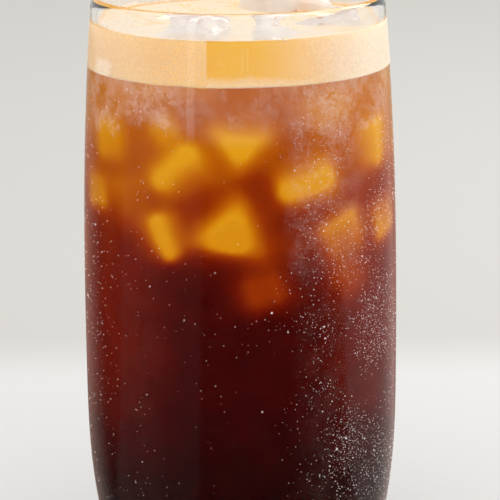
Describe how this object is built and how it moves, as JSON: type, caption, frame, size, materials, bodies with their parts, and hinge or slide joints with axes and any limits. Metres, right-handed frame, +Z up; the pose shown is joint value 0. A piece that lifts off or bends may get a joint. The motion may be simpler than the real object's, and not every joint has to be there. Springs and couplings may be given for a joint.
{
  "type": "iced americano",
  "caption": "Iced black coffee with a thick pale foam layer and ice cubes floating through it, in a tall barrel-sided clear tumbler that stands on its flat foot.",
  "frame": {"origin": "centre of the glass's foot, on the surface it stands on", "axes": "+Z up along the glass's axis, -Y towards the side that the picture shows"},
  "size_m": [0.075, 0.075, 0.14],
  "materials": {
    "clear_glass": "smooth clear soda glass, rounded lip, beaded with fine condensation outside",
    "black_coffee": "clear dark red-brown coffee that glows amber where it is thin in front of ice",
    "coffee_foam": "fine matte coffee foam, golden, with tiny bubbles",
    "ice": "wet ice, clear at the edges and cloudy inside, corners rounded by melting"
  },
  "bodies": {
    "root": {"glass": "clear_glass", "coffee": "black_coffee", "crema": "coffee_foam", "ice_front_left": "ice", "ice_front_right": "ice", "ice_back": "ice", "ice_right": "ice"}
  },
  "joints": []
}
